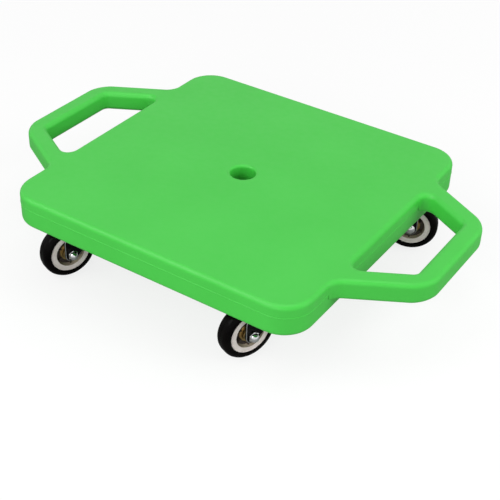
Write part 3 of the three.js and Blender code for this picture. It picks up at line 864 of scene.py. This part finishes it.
def buildFork():
    shape, top, bottom = forkShape, casterHeights["crownTop"], casterHeights["crownBottom"]
    edge, floor = shape["crownEdge"], bottom - shape["raceDepth"]
    bm = turnProfile([
        (shape["pinHole"], bottom), (shape["raceInner"], bottom, edge),
        (shape["raceInner"] + shape["raceDepth"], floor, edge),
        (shape["raceOuter"] - shape["raceDepth"], floor, edge), (shape["raceOuter"], bottom, edge),
        (shape["crownRadius"], bottom, edge), (shape["crownRadius"], top, edge), (shape["pinHole"], top),
    ], shape["crownSteps"])
    front, back = legFront(), shape["topBack"]
    size = (back - front, 2 * (shape["inner"] + shape["bridgeLap"]), top - bottom)
    addBlock(bm, size, ((back + front) / 2, 0, (top + bottom) / 2))
    for side in (-1, 1):
        addTo(bm, shapeLeg(side), "leg")
    return meshFrom(bm, "fork")


kingpinShape = {
    "head": 7, "headHeight": 1.8, "shank": 4.4, "clear": 0.3,
    "domeHeight": 2.5, "domeRim": 0.6, "domeSteps": 9, "steps": 48,
}


def buildKingpin():
    shape = kingpinShape
    foot, seat = casterHeights["crownBottom"] - shape["clear"], casterHeights["plateTop"] + shape["clear"]
    peak, top = foot - shape["domeHeight"] - shape["domeRim"], seat + shape["headHeight"]
    bm = turnProfile([
        (0, peak), domeArc(shape["head"], shape["domeHeight"], peak, shape["domeSteps"], True),
        (shape["head"], foot), (shape["shank"], foot), (shape["shank"], seat),
        (shape["head"], seat), (shape["head"], top), (0, top),
    ], shape["steps"], closed=False)
    return meshFrom(bm, "kingpin")


cupShape = {
    "bore": 4.7, "inner": 15.4, "outer": 17, "skirtClear": 0.7,
    "insideCorner": 0.8, "skirtInner": 0.4, "skirtOuter": 0.6, "shoulder": 1.4, "steps": 72,
}


def buildCup():
    shape, inside, top = cupShape, casterHeights["cupInside"], casterHeights["cupTop"]
    skirt = casterHeights["crownTop"] + shape["skirtClear"]
    bm = turnProfile([
        (shape["bore"], inside), (shape["inner"], inside, shape["insideCorner"]),
        (shape["inner"], skirt, shape["skirtInner"]), (shape["outer"], skirt, shape["skirtOuter"]),
        (shape["outer"], top, shape["shoulder"]), (shape["bore"], top),
    ], shape["steps"])
    return meshFrom(bm, "cup")


ballRingShape = {
    "inner": 10.7, "outer": 14.5, "half": 0.45, "edge": 0.2, "steps": 64,
    "balls": 6, "ballCircle": 12.6, "ballRadius": 1.4, "ballSteps": 3,
}


def buildBallRing():
    shape, height = ballRingShape, casterHeights["balls"]
    sides = ((shape["inner"], -1), (shape["outer"], -1), (shape["outer"], 1), (shape["inner"], 1))
    path = [(radius, height + up * shape["half"], shape["edge"]) for radius, up in sides]
    bm = turnProfile(path, shape["steps"])
    for i in range(shape["balls"]):
        turn = Matrix.Rotation(math.tau * i / shape["balls"], 4, "Z")
        place = turn @ Matrix.Translation(Vector((shape["ballCircle"], 0, height)) * mm)
        bmesh.ops.create_icosphere(
            bm, subdivisions=shape["ballSteps"], radius=shape["ballRadius"] * mm, matrix=place,
        )
    return meshFrom(bm, "ballRing")


plateShape = {"length": 66, "width": 50, "corner": 6, "cornerSteps": 8, "edge": 0.6, "edgeSteps": 3}


def buildTopPlate():
    shape, bottom, top = plateShape, casterHeights["plateBottom"], casterHeights["plateTop"]
    bm = bmesh.new()
    addRoundedRectangle(bm, shape["length"], shape["width"], shape["corner"], shape["cornerSteps"], bottom)
    thickenLoops(bm, top - bottom)
    roundEdges(bm, sharpEdges(bm, bottom), shape["edge"], shape["edgeSteps"])
    refillFlat(bm, bottom)
    return meshFrom(bm, "topPlate")


screwShape = {
    "head": 4, "headTop": 60.052, "headHeight": 2.4, "rim": 0.8, "shank": 2.3, "point": 2,
    "domeSteps": 7, "steps": 32,
    "slotLength": 4.4, "slotWidth": 0.9, "slotDepth": 1.3, "slotTurn": 6,
    "places": [(25, 17), (-25, 17), (-25, -17), (25, -17)],  # from the kingpin
    "turnEach": 37,  # degrees, each is driven home at its own angle
}


def buildScrew():
    shape = screwShape
    peak = shape["headTop"] - shape["headHeight"]
    bm = turnProfile([
        (0, peak), domeArc(shape["head"], shape["headHeight"] - shape["rim"], peak, shape["domeSteps"], True),
        (shape["head"], shape["headTop"]), (shape["shank"], shape["headTop"]),
        (shape["shank"], casterHeights["screwTop"] - shape["point"]), (0, casterHeights["screwTop"]),
    ], shape["steps"], closed=False)
    # The cross slot is one outline, turned so that none of its corners falls on an edge of the head
    reach, side, low = shape["slotLength"] / 2, shape["slotWidth"] / 2, peak - shape["slotDepth"]
    outline = []
    for quarter in range(4):
        turn = Matrix.Rotation(math.radians(90 * quarter + shape["slotTurn"]), 3, "Z")
        arm = ((reach, -side, low), (reach, side, low), (side, side, low))
        outline += [turn @ Vector(corner) for corner in arm]
    cross = bmesh.new()
    addLoop(cross, outline)
    thickenLoops(cross, 2 * shape["slotDepth"])
    screw = carve(meshFrom(bm, "screwBlank"), meshFrom(cross, "crossSlot"), "screw")
    shadeMesh(screw, fineness["smoothBelow"])
    return screw


casterPieces = {
    # node: (mesh, finishes, what it turns with, material slot)
    "top_plate": (buildTopPlate(), ["zinc"], "deck", "zinc"),
    "upper_race": (buildCup(), ["zinc"], "deck", "zinc"),
    "ball_ring": (buildBallRing(), ["chrome"], "deck", "zinc"),
    "kingpin": (buildKingpin(), ["zinc"], "deck", "zinc"),
    "fork": (buildFork(), forkFinishes, "yoke", "fork"),
    "axle_bolt": (buildBolt(), ["chrome"], "yoke", "chrome"),
    "axle_nut": (buildNut(), ["chrome"], "yoke", "chrome"),
    "axle_sleeve": (buildSleeve(), ["zinc"], "yoke", "zinc"),
    "wheel_hub": (buildHub(), hubFinishes, "wheel", "hub"),
    "tyre": (buildTyre(), ["rubber"], "wheel", "tyre"),
}
screwMesh = buildScrew()
print("caster pieces shaped")


def setCaster(caster):
    joints = {joint["name"]: Vector(joint["pos_m"]) for joint in frame["joints"]}
    pin, axle = joints[caster + "_swivel"], joints[caster + "_spin"]
    stand = Matrix.Translation((pin.x, pin.y, 0))
    trail = Matrix.Rotation(math.atan2(axle.y - pin.y, axle.x - pin.x), 4, "Z")
    first, second = caster.split("_")
    short = first + second.capitalize()
    for node, (mesh, finish, turnsWith, slot) in casterPieces.items():
        copy = mesh.copy()
        copy.transform(stand if turnsWith == "deck" else stand @ trail)
        body = "deck" if turnsWith == "deck" else caster + "_" + turnsWith
        name = short + "".join(word.capitalize() for word in node.split("_"))
        addPiece(name, copy, finish, body, [caster + "_" + node])
    for number, (x, y) in enumerate(screwShape["places"], 1):
        copy = screwMesh.copy()
        spin = Matrix.Rotation(math.radians(screwShape["turnEach"] * number), 4, "Z")
        copy.transform(stand @ Matrix.Translation(Vector((x, y, 0)) * mm) @ spin)
        node = caster + "_screw_" + str(number)
        addPiece(short + "Screw" + str(number), copy, ["zinc"], "deck", [node])


for caster in ("front_right", "front_left", "back_right", "back_left"):
    setCaster(caster)
print("casters set")


# Studio: white floor that keeps a soft shadow, soft lights and an even sky
studio = {
    "floorSize": 8,
    "floorSeen": "#ffffff",
    "floorBounce": "#b4b4b4",    # what the floor gives back to matt surfaces
    "floorMirrored": "#9c9c9c",  # what glossy surfaces mirror of it
    "floorGlow": 0.8,            # share of plain white in the floor that the camera sees
    "clearFrom": 0.35,           # metres from the middle where the floor starts to fade to plain white
    "clearBy": 1.3,
    "skyStrength": 0.3,          # what falls on matt surfaces
    "skyReflected": 0.8,         # what glossy surfaces mirror
    "skySeen": 1.0,              # plain white
    "aim": (0, 0, 0.06),
    "lamps": [
        # name, place, size, watts, whether glossy surfaces mirror it
        ("keySoftbox", (-0.9, -1.3, 1.5), 1.3, 14.5, True),
        ("frontSoftbox", (0.3, -1.6, 0.6), 1.0, 14.5, False),
        ("rightSoftbox", (1.5, 0.6, 0.9), 1.2, 19, False),
        ("topSoftbox", (0.0, 0.0, 2.0), 1.4, 8, True),
    ],
}


def whiteFloorPaint():
    # Matt white floor paint: the camera sees it nearly plain white, so only the soft shadow shows.
    # Sockets 6 and 7 of a Mix node are its colours, and output 2 is the mixed one.
    material = bpy.data.materials.new("mattFloorPaintWhite")
    material.use_nodes = True
    tree = material.node_tree
    tree.nodes.clear()
    ray = addNode(tree, "ShaderNodeLightPath")
    place = addNode(tree, "ShaderNodeTexCoord").outputs["Object"]
    away = addNode(tree, "ShaderNodeVectorMath", {"operation": "LENGTH"}, {0: place}).outputs["Value"]
    glowing = addNode(tree, "ShaderNodeMapRange", {
        "interpolation_type": "SMOOTHSTEP", "From Min": studio["clearFrom"], "From Max": studio["clearBy"],
        "To Min": studio["floorGlow"], "To Max": 1.0,
    }, {"Value": away})
    share = addNode(tree, "ShaderNodeMath", {"operation": "MULTIPLY"}, {
        0: ray.outputs["Is Camera Ray"], 1: glowing.outputs["Result"],
    })
    given = addNode(tree, "ShaderNodeMix", {
        "data_type": "RGBA", 6: colour(studio["floorBounce"]), 7: colour(studio["floorMirrored"]),
    }, {0: ray.outputs["Is Glossy Ray"]})
    paint = addNode(tree, "ShaderNodeMix", {"data_type": "RGBA", 7: colour(studio["floorSeen"])}, {
        0: ray.outputs["Is Camera Ray"], 6: given.outputs[2],
    })
    matte = addNode(tree, "ShaderNodeBsdfDiffuse", links={"Color": paint.outputs[2]})
    glow = addNode(tree, "ShaderNodeEmission", {"Color": (1, 1, 1, 1), "Strength": 1.0})
    mixed = addNode(tree, "ShaderNodeMixShader", links={
        0: share.outputs[0], 1: matte.outputs[0], 2: glow.outputs[0],
    })
    addNode(tree, "ShaderNodeOutputMaterial", links={"Surface": mixed.outputs[0]})
    return material


def makeFloor():
    bm = bmesh.new()
    bmesh.ops.create_grid(bm, x_segments=1, y_segments=1, size=studio["floorSize"] / 2)
    mesh = bpy.data.meshes.new("floor")
    bm.to_mesh(mesh)
    bm.free()
    mesh.materials.append(whiteFloorPaint())
    floor = bpy.data.objects.new("floor", mesh)
    bpy.context.scene.collection.objects.link(floor)


def makeLamps():
    for name, place, size, watts, mirrored in studio["lamps"]:
        lamp = bpy.data.lights.new(name, "AREA")
        lamp.shape = "SQUARE"
        lamp.size = size
        lamp.energy = watts
        holder = bpy.data.objects.new(name, lamp)
        holder.location = place
        holder.visible_glossy = mirrored
        holder.rotation_euler = (Vector(studio["aim"]) - Vector(place)).to_track_quat("-Z", "Y").to_euler()
        bpy.context.scene.collection.objects.link(holder)


def makeSky():
    world = bpy.data.worlds.new("studioSky")
    bpy.context.scene.world = world
    world.use_nodes = True
    tree = world.node_tree
    tree.nodes.clear()
    ray = addNode(tree, "ShaderNodeLightPath")
    sky, mirrored, white = [
        addNode(tree, "ShaderNodeBackground", {"Color": (1, 1, 1, 1), "Strength": studio[part]}).outputs[0]
        for part in ("skyStrength", "skyReflected", "skySeen")
    ]
    lit = addNode(tree, "ShaderNodeMixShader", links={0: ray.outputs["Is Glossy Ray"], 1: sky, 2: mirrored})
    seen = addNode(tree, "ShaderNodeMixShader", links={
        0: ray.outputs["Is Camera Ray"], 1: lit.outputs[0], 2: white,
    })
    addNode(tree, "ShaderNodeOutputWorld", links={"Surface": seen.outputs[0]})


makeFloor()
makeLamps()
makeSky()
bpy.context.scene.view_settings.view_transform = "Standard"
print("studio ready")
